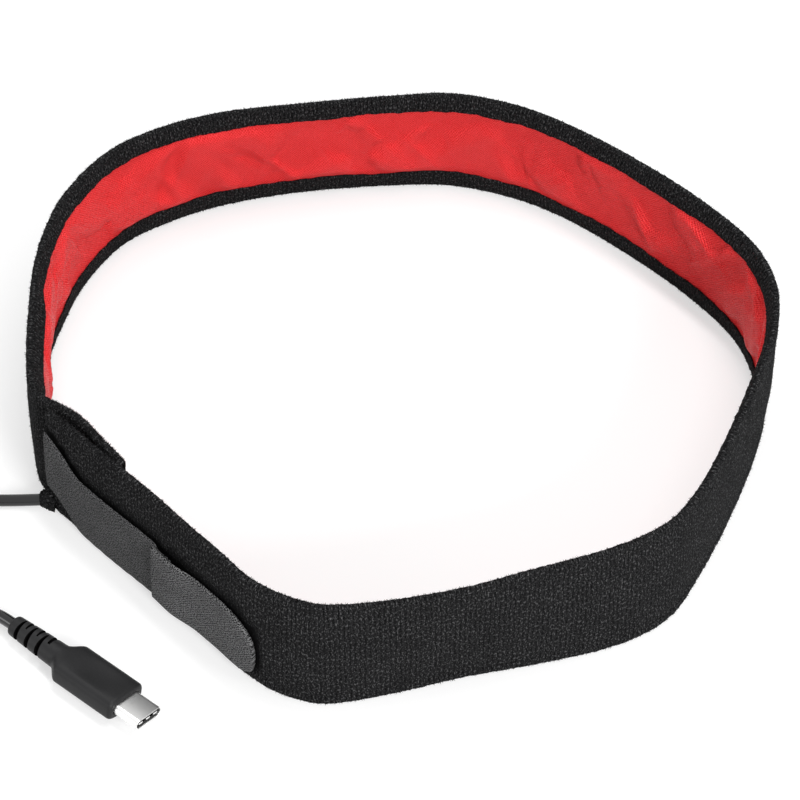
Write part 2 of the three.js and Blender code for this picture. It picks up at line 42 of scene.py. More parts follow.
mm = 0.001
shift = np.array([0.609, -0.145, 0.0])  # the loop's centre stands on the origin


def rise(value, start, end):
    part = np.clip((np.asarray(value, float) - start) / (end - start), 0, 1)
    return part * part * (3 - 2 * part)


# Camera, at the height and distance that the loop's outlines and the plug's size give
camera = {"tilt": 42.8, "distance": 614.0, "target": (-0.391, 5.855, 0.0), "lens": 108.3}


def addCamera():
    data = bpy.data.cameras.new("camera")
    data.lens = camera["lens"]
    data.sensor_width = 36
    tilt = math.radians(camera["tilt"])
    reach = Vector((0, -math.sin(tilt), math.cos(tilt))) * camera["distance"]
    view = bpy.data.objects.new("camera", data)
    view.location = (Vector(camera["target"]) + reach) * mm
    view.rotation_euler = (tilt, 0, 0)
    bpy.context.scene.collection.objects.link(view)
    bpy.context.scene.camera = view


addCamera()
print("camera placed")


# Curves: the centripetal curve through given points, and stations at even steps along it
def curveThrough(points, perSpan=40):
    p = np.array(points, float)
    p = np.vstack([2 * p[0] - p[1], p, 2 * p[-1] - p[-2]])
    line = []
    for i in range(1, len(p) - 2):
        a, b, c, d = p[i - 1 : i + 3]
        ab, bc, cd = (np.sum((end - start) ** 2) ** 0.25 for start, end in ((a, b), (b, c), (c, d)))
        leave = ((b - a) / ab - (c - a) / (ab + bc) + (c - b) / bc) * bc
        arrive = ((c - b) / bc - (d - b) / (bc + cd) + (d - c) / cd) * bc
        for t in np.arange(perSpan) / perSpan:
            bend = (-3 * b + 3 * c - 2 * leave - arrive) * t**2 + (2 * b - 2 * c + leave + arrive) * t**3
            line.append(b + leave * t + bend)
    line.append(p[-2])
    return np.array(line)


def evenly(line, step, axes=3):
    run = np.concatenate([[0], np.cumsum(np.linalg.norm(np.diff(line[:, :axes], axis=0), axis=1))])
    places = np.linspace(0, run[-1], max(2, int(round(run[-1] / step)) + 1))
    return np.stack([np.interp(places, run, line[:, k]) for k in range(line.shape[1])], 1), places


def stationsAlong(route, step, start=0.0, end=None):
    line = curveThrough(route)
    fine, run = evenly(line, 0.25, axes=2)
    along = np.gradient(fine[:, :2], axis=0)
    along /= np.linalg.norm(along, axis=1)[:, None]
    for _ in range(2):  # softens the direction where the curve's spans meet
        along[1:-1] = (along[:-2] + 2 * along[1:-1] + along[2:]) / 4
    along /= np.linalg.norm(along, axis=1)[:, None]
    end = run[-1] if end is None else end
    places = np.linspace(start, end, max(2, int(round((end - start) / step)) + 1))
    take = lambda values: np.interp(places, run, values)
    return {
        "run": places,
        "length": run[-1],
        "foot": np.stack([take(fine[:, 0]), take(fine[:, 1])], 1),
        "lean": take(fine[:, 2]),
        "outward": np.stack([take(along[:, 1]), take(-along[:, 0])], 1),
    }


def placed(stations, out, up):
    over = out - stations["lean"][:, None] * up / band["height"]
    xy = stations["foot"][:, None, :] + stations["outward"][:, None, :] * over[:, :, None]
    return np.concatenate([xy, np.broadcast_to(up, out.shape)[:, :, None]], 2)


def moved(route, outward):
    line = curveThrough(route, 40)
    along = np.gradient(line, axis=0)[::40, :2]
    along /= np.linalg.norm(along, axis=1)[:, None]
    return [(x + a[1] * outward, y - a[0] * outward, lean) for (x, y, lean), a in zip(route, along)]


def wander(run, seed, waves, span):
    rng = np.random.default_rng(seed)
    total = np.zeros_like(np.asarray(run, float))
    for _ in range(waves):
        total += np.sin(2 * math.pi * run / rng.uniform(*span) + rng.uniform(0, 2 * math.pi))
    return total / math.sqrt(waves)


def turnOutward(mesh):
    work = bmesh.new()
    work.from_mesh(mesh)
    bmesh.ops.recalc_face_normals(work, faces=work.faces)
    work.to_mesh(mesh)
    work.free()


def addPiece(name, data):
    piece = bpy.data.objects.new(name, data)
    bpy.context.scene.collection.objects.link(piece)
    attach(piece, "root")
    return piece


# Joins rings of points into a closed piece; "place" keeps each point's distance along and round the cloth
def ringPiece(name, rings, along, girth, material, paintedDark=0.0):
    count, size = rings.shape[:2]
    points = (rings.reshape(-1, 3) + shift) * mm
    i = np.arange(count - 1)[:, None] * size
    j = np.arange(size)[None, :]
    k = (j + 1) % size
    faces = np.stack([i + j, i + k, i + size + k, i + size + j], 2).reshape(-1, 4)
    mesh = bpy.data.meshes.new(name)
    ends = [list(range(size))[::-1], list(range((count - 1) * size, count * size))]
    mesh.from_pydata(points.tolist(), [], faces.tolist() + ends)
    place = mesh.attributes.new("place", "FLOAT_VECTOR", "POINT")
    spots = np.zeros((count, size, 3), np.float32)
    spots[:, :, 0] = along
    spots[:, :, 1] = girth
    # the third value darkens the knit: painted shade along the strap and tab edges, and darker hems
    spots[:, :, 2] = paintedDark
    place.data.foreach_set("vector", spots.ravel())
    turnOutward(mesh)
    mesh.polygons.foreach_set("use_smooth", [True] * len(mesh.polygons))
    mesh.materials.append(material)
    return addPiece(name, mesh)


# Materials
def addNode(tree, kind, settings=(), inputs=()):
    node = tree.nodes.new(kind)
    for key, value in dict(settings).items():
        setattr(node, key, value)
    for key, value in dict(inputs).items():
        if isinstance(value, bpy.types.NodeSocket):
            tree.links.new(value, node.inputs[key])
        else:
            node.inputs[key].default_value = value
    return node


def calc(tree, operation, *values, clamp=False):
    inputs = dict(enumerate(values))
    return addNode(tree, "ShaderNodeMath", {"operation": operation, "use_clamp": clamp}, inputs).outputs[0]


def tint(tree, factor, dark, light):
    node = addNode(tree, "ShaderNodeMix", {"data_type": "RGBA"}, {0: factor})
    for key, value in ((6, dark), (7, light)):
        if isinstance(value, bpy.types.NodeSocket):
            tree.links.new(value, node.inputs[key])
        else:
            node.inputs[key].default_value = (*value, 1)
    return node.outputs[2]


def newGroup(name, inputs, outputs):
    tree = bpy.data.node_groups.new(name, "ShaderNodeTree")
    for label, kind, value in inputs:
        socket = tree.interface.new_socket(label, in_out="INPUT", socket_type=kind)
        if value is not None:
            socket.default_value = value
    for label, kind in outputs:
        tree.interface.new_socket(label, in_out="OUTPUT", socket_type=kind)
    return tree, tree.nodes.new("NodeGroupInput"), tree.nodes.new("NodeGroupOutput")


# Knit: upright ribs whose brushed yarn shows as short bright flecks, with painted shade: the tone is lighter on
# the rib crowns and darker in the gaps between the ribs
def makeKnitGroup():
    tree, given, out = newGroup(
        "knitRibs",
        [("Place", "NodeSocketVector", None), ("Rib Pitch", "NodeSocketFloat", 1.15),
         ("Fleck Length", "NodeSocketFloat", 1.1), ("Fleck Width", "NodeSocketFloat", 0.42),
         ("Fuzz", "NodeSocketFloat", 0.5)],
        [("Height", "NodeSocketFloat"), ("Yarn And Rib Shade", "NodeSocketFloat")],
    )
    place = given.outputs["Place"]
    drift = addNode(tree, "ShaderNodeTexNoise", (), {"Vector": place, "Scale": 0.35, "Detail": 2.0})
    split = addNode(tree, "ShaderNodeSeparateXYZ", (), {0: place})
    wobble = calc(tree, "MULTIPLY", calc(tree, "SUBTRACT", drift.outputs[0], 0.5), 0.9)
    across = calc(tree, "DIVIDE", calc(tree, "ADD", split.outputs[0], wobble), given.outputs["Rib Pitch"])
    side = calc(tree, "ABSOLUTE", calc(tree, "SUBTRACT", calc(tree, "FRACT", across), 0.5))
    rib = calc(tree, "SUBTRACT", 1.0, calc(tree, "POWER", calc(tree, "MULTIPLY", side, 2.0), 2.0))
    short = calc(tree, "DIVIDE", split.outputs[1], given.outputs["Fleck Length"])
    narrow = calc(tree, "DIVIDE", split.outputs[0], given.outputs["Fleck Width"])
    cell = addNode(tree, "ShaderNodeCombineXYZ", (), {0: narrow, 1: short})
    flecks = addNode(tree, "ShaderNodeTexNoise", (),
                     {"Vector": cell.outputs[0], "Scale": 1.0, "Detail": 2.0, "Roughness": 0.65})
    fleck = addNode(tree, "ShaderNodeMapRange", {"interpolation_type": "SMOOTHSTEP"},
                    {0: flecks.outputs[0], 1: 0.53, 2: 0.66}).outputs[0]
    fibres = addNode(tree, "ShaderNodeTexNoise", (),
                     {"Vector": place, "Scale": 2.6, "Detail": 2.0, "Roughness": 0.7})
    fuzz = calc(tree, "MULTIPLY", calc(tree, "SUBTRACT", fibres.outputs[0], 0.5), given.outputs["Fuzz"])
    body = calc(tree, "ADD", calc(tree, "MULTIPLY", rib, 0.45), calc(tree, "MULTIPLY", fleck, 0.55))
    tree.links.new(calc(tree, "ADD", body, fuzz), out.inputs["Height"])
    # painted shade: the tone is lighter on the rib crowns and darker in the gaps between the ribs
    fleckAndRibShade = calc(tree, "ADD", calc(tree, "MULTIPLY", fleck, calc(tree, "MULTIPLY_ADD", rib, 0.4, 0.5)),
               calc(tree, "MULTIPLY_ADD", rib, 0.1, calc(tree, "MULTIPLY", fuzz, 0.9)))
    tree.links.new(calc(tree, "ADD", fleckAndRibShade, 0.02, clamp=True), out.inputs["Yarn And Rib Shade"])
    return tree


# Plain weave: threads along and across that pass over each other in turn
def makeWeaveGroup():
    tree, given, out = newGroup(
        "plainWeave",
        [("Place", "NodeSocketVector", None), ("Along", "NodeSocketFloat", 0.6),
         ("Across", "NodeSocketFloat", 0.6), ("Grain", "NodeSocketFloat", 0.4)],
        [("Height", "NodeSocketFloat"), ("Thread", "NodeSocketFloat")],
    )
    place = given.outputs["Place"]
    split = addNode(tree, "ShaderNodeSeparateXYZ", (), {0: place})
    drift = addNode(tree, "ShaderNodeTexNoise", (), {"Vector": place, "Scale": 0.3, "Detail": 1.0})
    bent = calc(tree, "MULTIPLY", calc(tree, "SUBTRACT", drift.outputs[0], 0.5), 0.5)
    x = calc(tree, "DIVIDE", calc(tree, "ADD", split.outputs[0], bent), given.outputs["Along"])
    y = calc(tree, "DIVIDE", calc(tree, "ADD", split.outputs[1], bent), given.outputs["Across"])
    waveX = calc(tree, "SINE", calc(tree, "MULTIPLY", x, 2 * math.pi))
    waveY = calc(tree, "SINE", calc(tree, "MULTIPLY", y, 2 * math.pi))
    cells = calc(tree, "MULTIPLY_ADD", calc(tree, "MULTIPLY", waveX, waveY), 0.5, 0.5)
    grain = addNode(tree, "ShaderNodeTexNoise", (), {"Vector": place, "Scale": 3.2, "Detail": 2.0})
    rough = calc(tree, "MULTIPLY", calc(tree, "SUBTRACT", grain.outputs[0], 0.5), given.outputs["Grain"])
    tree.links.new(calc(tree, "ADD", cells, rough), out.inputs["Height"])
    thread = calc(tree, "ADD", cells, calc(tree, "MULTIPLY", rough, 2.0), clamp=True)
    tree.links.new(thread, out.inputs["Thread"])
    return tree


# Fine grain of moulded and plated parts, in object space
def makeGrainGroup():
    tree, given, out = newGroup(
        "fineGrain",
        [("Scale", "NodeSocketFloat", 900.0), ("Spread", "NodeSocketFloat", 1.0)],
        [("Height", "NodeSocketFloat"), ("Patch", "NodeSocketFloat")],
    )
    where = tree.nodes.new("ShaderNodeTexCoord").outputs["Object"]
    small = addNode(tree, "ShaderNodeTexNoise", (),
                    {"Vector": where, "Scale": given.outputs["Scale"], "Detail": 3.0})
    wide = addNode(tree, "ShaderNodeTexNoise", (), {"Vector": where, "Scale": 160.0, "Detail": 2.0})
    tree.links.new(calc(tree, "MULTIPLY", small.outputs[0], given.outputs["Spread"]), out.inputs["Height"])
    tree.links.new(wide.outputs[0], out.inputs["Patch"])
    return tree


knitRibs = makeKnitGroup()
plainWeave = makeWeaveGroup()
fineGrain = makeGrainGroup()


def newMaterial(name, values):
    material = bpy.data.materials.new(name)
    material.use_nodes = True
    tree = material.node_tree
    shader = tree.nodes["Principled BSDF"]
    for key, value in values.items():
        shader.inputs[key].default_value = value
    return material, tree, shader


def placeVector(tree):
    return addNode(tree, "ShaderNodeAttribute", {"attribute_name": "place"}).outputs["Vector"]


def useGroup(tree, group, inputs):
    return addNode(tree, "ShaderNodeGroup", {"node_tree": group}, inputs)


def bumped(tree, shader, height, distance):
    bump = addNode(tree, "ShaderNodeBump", (),
                   {"Height": height, "Distance": distance, "Strength": 1.0})
    tree.links.new(bump.outputs[0], shader.inputs["Normal"])


knitLook = {
    "dark": (0.0015, 0.0015, 0.0018), "light": (0.125, 0.125, 0.128), "rib": 1.15,
    "fleckWidth": 0.36, "fleckLength": 0.8, "fuzz": 0.8, "bump": 0.0003, "paintedDark": 0.92,
}


def makeKnitMaterial():
    material, tree, shader = newMaterial("knitBlack", {"Roughness": 0.95, "Specular IOR Level": 0.05})
    place = placeVector(tree)
    ribs = useGroup(tree, knitRibs, {
        "Place": place, "Rib Pitch": knitLook["rib"], "Fuzz": knitLook["fuzz"],
        "Fleck Width": knitLook["fleckWidth"], "Fleck Length": knitLook["fleckLength"],
    })
    patches = addNode(tree, "ShaderNodeTexNoise", (), {"Vector": place, "Scale": 0.12, "Detail": 2.0})
    patch = calc(tree, "MULTIPLY_ADD", patches.outputs[0], 0.6, 0.7)
    yarnAndRibShade = calc(tree, "MULTIPLY", ribs.outputs["Yarn And Rib Shade"], patch)
    # painted shade along the strap and tab edges, and the darker hems, darken the yarn colour here
    paintedDark = addNode(tree, "ShaderNodeSeparateXYZ", (), {0: place}).outputs[2]
    kept = calc(tree, "SUBTRACT", 1.0, calc(tree, "MULTIPLY", paintedDark, knitLook["paintedDark"]))
    tree.links.new(tint(tree, calc(tree, "MULTIPLY", yarnAndRibShade, kept), knitLook["dark"], knitLook["light"]),
                   shader.inputs["Base Color"])
    bumped(tree, shader, ribs.outputs["Height"], knitLook["bump"])
    return material


satinLook = {"dark": (0.66, 0.0, 0.001), "light": (1.0, 0.075, 0.08), "thread": 0.78, "bump": 0.00028}


def makeSatinMaterial():
    material, tree, shader = newMaterial("satinRed", {
        "Roughness": 0.4, "Specular IOR Level": 0.14,
        "Sheen Weight": 0.02, "Sheen Roughness": 0.35, "Sheen Tint": (1.0, 0.5, 0.5, 1),
    })
    place = placeVector(tree)
    thread = satinLook["thread"]
    weave = useGroup(tree, plainWeave, {"Place": place, "Along": thread, "Across": thread, "Grain": 1.2})
    patches = addNode(tree, "ShaderNodeTexNoise", (), {"Vector": place, "Scale": 0.16, "Detail": 3.0})
    patch = calc(tree, "MULTIPLY", patches.outputs[0], 0.25)
    tone = calc(tree, "MULTIPLY_ADD", weave.outputs["Thread"], 0.75, patch)
    tree.links.new(tint(tree, tone, satinLook["dark"], satinLook["light"]), shader.inputs["Base Color"])
    bumped(tree, shader, weave.outputs["Height"], satinLook["bump"])
    return material


def makeWebMaterial(name, dark, light, along, across, grain, bump):
    material, tree, shader = newMaterial(name, {"Roughness": 0.85, "Specular IOR Level": 0.08})
    place = placeVector(tree)
    weave = useGroup(tree, plainWeave, {"Place": place, "Along": along, "Across": across, "Grain": grain})
    patches = addNode(tree, "ShaderNodeTexNoise", (), {"Vector": place, "Scale": 0.2, "Detail": 2.0})
    patch = calc(tree, "MULTIPLY_ADD", patches.outputs[0], 0.6, 0.7)
    tone = calc(tree, "MULTIPLY", weave.outputs["Thread"], patch)
    tree.links.new(tint(tree, tone, dark, light), shader.inputs["Base Color"])
    bumped(tree, shader, weave.outputs["Height"], bump)
    return material


def makeGrainMaterial(name, dark, light, values, scale=900.0, bump=0.00002):
    material, tree, shader = newMaterial(name, values)
    grain = useGroup(tree, fineGrain, {"Scale": scale})
    tree.links.new(tint(tree, grain.outputs["Patch"], dark, light), shader.inputs["Base Color"])
    bumped(tree, shader, grain.outputs["Height"], bump)
    return material


knitBlack = makeKnitMaterial()
satinRed = makeSatinMaterial()
elasticGrey = makeWebMaterial("elasticGrey", (0.004, 0.004, 0.0045), (0.19, 0.19, 0.193),
                              along=0.62, across=0.5, grain=3.2, bump=0.0002)
hookGrey = makeWebMaterial("hookGrey", (0.007, 0.007, 0.0075), (0.3, 0.3, 0.304),
                           along=0.95, across=0.8, grain=3.2, bump=0.00034)
jacketBlack = makeGrainMaterial("jacketBlack", (0.003, 0.003, 0.0035), (0.006, 0.006, 0.0065),
                                {"Roughness": 0.11, "Specular IOR Level": 0.55}, 500.0, 0.000006)
mouldBlack = makeGrainMaterial("mouldBlack", (0.011, 0.011, 0.0115), (0.017, 0.017, 0.018),
                               {"Roughness": 0.5, "Specular IOR Level": 0.22}, 1600.0, 0.00004)
# painted shade for the slot bottoms and walls
paintedSlotShade = makeGrainMaterial("paintedSlotShade", (0.001, 0.001, 0.001), (0.003, 0.003, 0.003),
                                {"Roughness": 0.9, "Specular IOR Level": 0.05})
nickel = makeGrainMaterial("nickel", (0.84, 0.84, 0.83), (0.9, 0.9, 0.89),
                           {"Metallic": 1.0, "Roughness": 0.3}, 1200.0, 0.000006)
insertBlack = makeGrainMaterial("insertBlack", (0.003, 0.003, 0.003), (0.007, 0.007, 0.007), {"Roughness": 0.5})
contactGold = makeGrainMaterial("contactGold", (0.6, 0.38, 0.09), (0.75, 0.5, 0.14),
                                {"Metallic": 1.0, "Roughness": 0.3})
boardGreen = makeGrainMaterial("boardGreen", (0.008, 0.06, 0.02), (0.015, 0.1, 0.034), {"Roughness": 0.4})
feltGrey = makeGrainMaterial("feltGrey", (0.1, 0.095, 0.09), (0.2, 0.19, 0.17),
                             {"Roughness": 0.95}, 700.0, 0.0002)
filmAmber = makeGrainMaterial("filmAmber", (0.34, 0.09, 0.008), (0.46, 0.13, 0.01), {"Roughness": 0.3})
wireSteel = makeGrainMaterial("wireSteel", (0.28, 0.26, 0.23), (0.4, 0.37, 0.33),
                              {"Metallic": 1.0, "Roughness": 0.35})
solderGrey = makeGrainMaterial("solderGrey", (0.4, 0.41, 0.42), (0.55, 0.56, 0.57),
                               {"Metallic": 1.0, "Roughness": 0.35})
leadRed = makeGrainMaterial("leadRed", (0.3, 0.008, 0.01), (0.4, 0.012, 0.015), {"Roughness": 0.4})
leadBlack = makeGrainMaterial("leadBlack", (0.008, 0.008, 0.008), (0.014, 0.014, 0.014), {"Roughness": 0.4})
carriedOver = {
    "insulation_pad": feltGrey, "heater_film": filmAmber, "heating_wire": wireSteel,
    "joint_negative": solderGrey, "joint_positive": solderGrey,
    "lead_negative": leadBlack, "lead_positive": leadRed,
    "cord_sleeve": mouldBlack, "plug_insert": insertBlack, "plug_board": boardGreen,
    "ground_spring_upper": nickel, "ground_spring_lower": nickel,
    **{f"contact_{row}_{k}": contactGold for row in ("upper", "lower") for k in (1, 2, 3)},
}
for nodeName, finish in carriedOver.items():
    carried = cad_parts[nodeName].data
    carried.materials.clear()
    carried.materials.append(finish)
print("materials made")


# Plug, along its own x from the front of the moulded body
plug = {
    "front": (-63.0, -90.9, 3.6), "turn": -38.5, "roll": -14.0,
    "bodyWidth": 11.3, "bodyHeight": 5.8, "bodyLength": 17.3, "bodyEdge": 1.0, "dish": 0.4,
    "shoulder": 3.7, "relief": 14.4, "reliefRear": 5.0, "reliefFront": 6.6, "core": 3.0,
    "firstSlot": 2.7, "slotMouth": 1.25, "slotTip": 0.4, "slotPitch": 3.5, "slots": 3, "slotPastCentre": 1.1,
    "slotReach": 5.0, "shellWidth": 8.34, "shellHeight": 2.56, "shellWall": 0.3, "shellLip": 0.14,
    "shellOut": 6.8, "shellSunk": 3.4, "seatGap": 0.12, "setback": 0.3,
    "tipPitch": 2.4, "tipWidth": 1.35, "tipHeight": 0.5,
}
plugPlace = Matrix.Translation(Vector(plug["front"]) + Vector(shift)) @ (
    Matrix.Rotation(math.radians(plug["turn"]), 4, "Z") @ Matrix.Rotation(math.radians(plug["roll"]), 4, "X")
)
plugTail = plug["bodyLength"] + plug["shoulder"] + plug["relief"]


# Cord: straight out of the sleeve, out of view into a neat coil, and back to the plug
cord = {
    "diameter": 3.0, "lay": 1.55, "centre": (-137.0, -53.2), "outer": 24.3, "inner": 15.0, "layerUp": 3.1,
    "layers": 4, "turns": 11 + 210 / 360, "startAngle": 90.0, "climb": 0.12, "gap": 0.3,
}
cordOut = [
    (-88.4, -28.8, 1.75), (-95, -28.9, 1.55), (-104, -28.9, 1.55), (-114, -28.9, 1.55), (-123.6, -28.9, 1.55),
]
rearReach = plugTail + cord["gap"]
plugRear = (
    plug["front"][0] - rearReach * math.cos(math.radians(plug["turn"])),
    plug["front"][1] - rearReach * math.sin(math.radians(plug["turn"])),
    plug["front"][2],
)
cordBack = [(-113, -67.4, 6.4), (-107, -64.6, 3.2), (-101, -63.2, 2.2), (-95.6, -65.1, 3.2), plugRear]


def coilPoints():
    turn = np.linspace(0, cord["turns"], int(cord["turns"] * 40))
    layer = turn / cord["turns"] * cord["layers"]
    sweep = np.abs((layer % 2) - 1)  # in, out, in, out
    radius = cord["inner"] + (cord["outer"] - cord["inner"]) * sweep
    level = np.clip(np.floor(layer + cord["climb"] / 2), 0, cord["layers"] - 1)
    near = np.round(layer)
    eased = np.clip((layer - near) / cord["climb"] + 0.5, 0, 1)
    climbing = (np.abs(layer - near) < cord["climb"] / 2) & (near > 0) & (near < cord["layers"])
    stepped = np.where(climbing, near - 1 + eased, level)
    angle = np.radians(cord["startAngle"]) + 2 * math.pi * turn
    x = cord["centre"][0] + radius * np.cos(angle)
    y = cord["centre"][1] + radius * np.sin(angle)
    return np.stack([x, y, cord["lay"] + cord["layerUp"] * stepped], 1)


def makeCord():
    coil = coilPoints()
    intoCoil = [cordOut[-1], (-130, -28.9, 1.55), coil[0]]
    offCoil = [coil[-1], (-119.5, -71.1, 9.9), cordBack[0]]
    line = np.vstack([curveThrough(cordOut)[:-1], curveThrough(intoCoil)[:-1], coil,
                      curveThrough(offCoil)[1:-1], curveThrough(cordBack)])
    route, run = evenly(line, 1.6)
    for _ in range(3):
        route[1:-1] = (route[:-2] + 2 * route[1:-1] + route[2:]) / 4
    data = bpy.data.curves.new("power_cord", "CURVE")
    data.dimensions = "3D"
    data.bevel_depth = cord["diameter"] / 2 * mm
    data.bevel_resolution = 4
    data.use_fill_caps = True
    spline = data.splines.new("POLY")
    spline.points.add(len(route) - 1)
    points = np.concatenate([(route + shift) * mm, np.ones((len(route), 1))], 1)
    spline.points.foreach_set("co", points.ravel())
    spline.use_smooth = True
    data.materials.append(jacketBlack)
    piece = addPiece("power_cord", data)
    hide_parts("cord_out", "cord_coil", "cord_back")
    print("cord laid,", round(run[-1]), "mm")
    return piece, (route[0] + shift) * mm


powerCord, cordExit = makeCord()


def plugPiece(name, mesh, material, slot, *nodes):
    mesh.transform(Matrix.Scale(mm, 4) @ plugPlace)
    mesh.materials.clear()
    mesh.materials.append(material)
    piece = addPiece(name, mesh)
    if nodes:
        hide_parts(*nodes)
    return piece


def reliefThick(x):
    along = np.clip((x + plugTail) / plug["relief"], 0, 1)
    return plug["reliefRear"] + (plug["reliefFront"] - plug["reliefRear"]) * along


def mouldRing(x, sides=72):
    shoulder = rise(x, -plug["bodyLength"] - plug["shoulder"], -plug["bodyLength"])
    thick = reliefThick(x)
    rear = np.clip(1 - (x + plugTail) / 0.5, 0, 1)
    thick -= 0.5 * (1 - math.sqrt(1 - rear * rear))
    front = max(0.0, x + plug["bodyEdge"]) / plug["bodyEdge"]
    shrink = plug["bodyEdge"] * (1 - math.sqrt(max(0.0, 1 - front * front)))
    halfWidth = (thick + (plug["bodyWidth"] - thick) * shoulder) / 2 - shrink
    flat = min(thick, plug["bodyHeight"])
    halfHeight = (flat + (plug["bodyHeight"] - flat) * shoulder) / 2 - shrink
    power = 1 - 0.5 * shoulder
    length = plug["bodyLength"]
    dish = plug["dish"] * rise(x, -length, -length * 0.6) * (1 - rise(x, -length * 0.4, -1))
    angle = 2 * math.pi * np.arange(sides) / sides
    c, s = np.cos(angle), np.sin(angle)
    across = halfWidth * np.sign(c) * np.abs(c) ** power
    hollow = dish * np.maximum(0, 1 - (across / (halfWidth * 0.7)) ** 2) * (np.abs(s) > 0.3)
    up = (halfHeight - hollow) * np.sign(s) * np.abs(s) ** power
    return np.stack([np.full(sides, float(x)), across, up], 1)


def solidFromRings(name, rings):
    count, size = len(rings), len(rings[0])
    mesh = bpy.data.meshes.new(name)
    faces = [(r * size + i, r * size + (i + 1) % size, (r + 1) * size + (i + 1) % size, (r + 1) * size + i)
             for r in range(count - 1) for i in range(size)]
    faces += [tuple(range(size))[::-1], tuple(range((count - 1) * size, count * size))]
    mesh.from_pydata(np.concatenate(rings).tolist(), [], faces)
    turnOutward(mesh)
    return mesh


def stadiumRing(width, height, x, sides=64):
    radius = height / 2
    turn = np.linspace(-math.pi / 2, math.pi / 2, sides // 2)
    right = np.stack([width / 2 - radius + radius * np.cos(turn), radius * np.sin(turn)], 1)
    outline = np.vstack([right, -right])
    return np.column_stack([np.full(len(outline), float(x)), outline])


def cutWith(mesh, tools):
    body = bpy.data.objects.new("cutBody", mesh)
    bpy.context.scene.collection.objects.link(body)
    cutters = []
    for tool in tools:
        cutter = bpy.data.objects.new("cutter", tool)
        bpy.context.scene.collection.objects.link(cutter)
        step = body.modifiers.new("cut", "BOOLEAN")
        step.operation, step.object, step.solver = "DIFFERENCE", cutter, "EXACT"
        cutters.append(cutter)
    result = bpy.data.meshes.new_from_object(body.evaluated_get(bpy.context.evaluated_depsgraph_get()))
    for item in [body, *cutters]:
        bpy.data.objects.remove(item)
    return result


# A wedge that narrows inward and stops at the round core of the relief
def slotTool(x, side):
    reach, past, narrow = plug["slotReach"], plug["slotPastCentre"], plug["slotTip"]
    flare = (plug["slotMouth"] - narrow) / (plug["bodyHeight"] / 2 + past)
    wide = narrow + flare * (reach + past)
    corners = [(x - wide / 2, side * reach), (x + wide / 2, side * reach),
               (x + narrow / 2, -side * past), (x - narrow / 2, -side * past)]
    slab = solidFromRings("slot", [np.array([(a, b, e) for a, b in corners]) for e in (-reach, reach)])
    turn = 2 * math.pi * np.arange(32) / 32
    radius = plug["core"] / 2
    core = [np.stack([np.full(32, x + e), np.cos(turn) * radius, np.sin(turn) * radius], 1) for e in (-1, 1)]
    return cutWith(slab, [solidFromRings("core", core)])


def makeMould():
    bodyLength, rear = plug["bodyLength"], -plugTail
    places = np.concatenate([
        rear + np.array([0, 0.1, 0.25, 0.5]), np.linspace(rear + 1, rear + plug["relief"] - 0.6, 8),
        np.linspace(rear + plug["relief"] - 0.2, -bodyLength + 0.2, 14), np.linspace(-bodyLength + 1, -1.2, 16),
        -plug["bodyEdge"] * np.cos(np.linspace(0, math.pi / 2 - 0.08, 8)),
    ])
    mould = solidFromRings("plug_mould", [mouldRing(x) for x in places])
    first = rear + plug["firstSlot"]
    half = plug["slotPitch"] / 2
    tools = [slotTool(first + k * half, -1 if k % 2 == 0 else 1) for k in range(2 * plug["slots"])]
    grown = 2 * plug["seatGap"]
    seat = [stadiumRing(plug["shellWidth"] + grown, plug["shellHeight"] + grown, x) for x in (-1.2, 1)]
    mould = cutWith(mould, [*tools, solidFromRings("seat", seat)])
    mould.polygons.foreach_set("use_smooth", [True] * len(mould.polygons))
    mould.set_sharp_from_angle(angle=math.radians(38))
    body = plugPiece("plug_body", mould, mouldBlack, "mould_black", "plug_overmould")
    mould.materials.append(paintedSlotShade)
    turned = plugPlace.inverted() @ Matrix.Scale(1 / mm, 4)
    for face in mould.polygons:  # painted shade: the bottoms and walls of the slots get a darker material
        x, y, z = turned @ face.center
        reached = [(turned @ mould.vertices[k].co)[0] for k in face.vertices]
        onRelief = -plugTail + 0.6 < x < -bodyLength - plug["shoulder"] - 1.3
        sunk = math.hypot(y, z) < reliefThick(x) / 2 - 0.2
        if onRelief and sunk and max(reached) - min(reached) < 1.6:
            face.material_index = 1
    return body


def makeShell():
    width, height, wall = plug["shellWidth"], plug["shellHeight"], plug["shellWall"]
    front, back, lip = plug["shellOut"], -plug["shellSunk"], plug["shellLip"]
    rings = [stadiumRing(width, height, back), stadiumRing(width, height, front - lip)]
    rings += [stadiumRing(width - 2 * e, height - 2 * e, front - lip + math.sqrt(lip**2 - e**2))
              for e in (0.05, 0.1, lip)]
    inner = (width - 2 * wall, height - 2 * wall)
    rings += [stadiumRing(*inner, front - 0.02), stadiumRing(*inner, back)]
    count, size = len(rings), len(rings[0])
    faces = []
    for r in range(count):  # the last ring joins the first one
        low, high = r * size, (r + 1) % count * size
        faces += [(low + i, low + (i + 1) % size, high + (i + 1) % size, high + i) for i in range(size)]
    shell = bpy.data.meshes.new("plug_sleeve")
    shell.from_pydata(np.concatenate(rings).tolist(), [], faces)
    turnOutward(shell)
    shell.polygons.foreach_set("use_smooth", [True] * len(shell.polygons))
    shell.set_sharp_from_angle(angle=math.radians(50))
    return plugPiece("plug_metal", shell, nickel, "nickel", "plug_shell")


# The ground springs' tips, which catch the light in the mouth
def makeTips():
    face = plug["shellOut"] - plug["setback"]
    tips = []
    for k, middle in enumerate((-plug["tipPitch"], 0, plug["tipPitch"])):
        rings = [
            stadiumRing(plug["tipWidth"] * grow, plug["tipHeight"] * grow, x, 24) + np.array([0, middle, 0])
            for x, grow in ((face - 0.5, 1.0), (face + 0.08, 1.0), (face + 0.14, 0.8))
        ]
        tips.append(plugPiece(f"spring_tip_{k + 1}", solidFromRings("tip", rings), nickel, "nickel"))
    return tips


onCord = [makeMould(), makeShell(), *makeTips()]
onCord += [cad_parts[n] for n in carriedOver if n.startswith(("plug", "ground", "contact"))]
print("plug made")


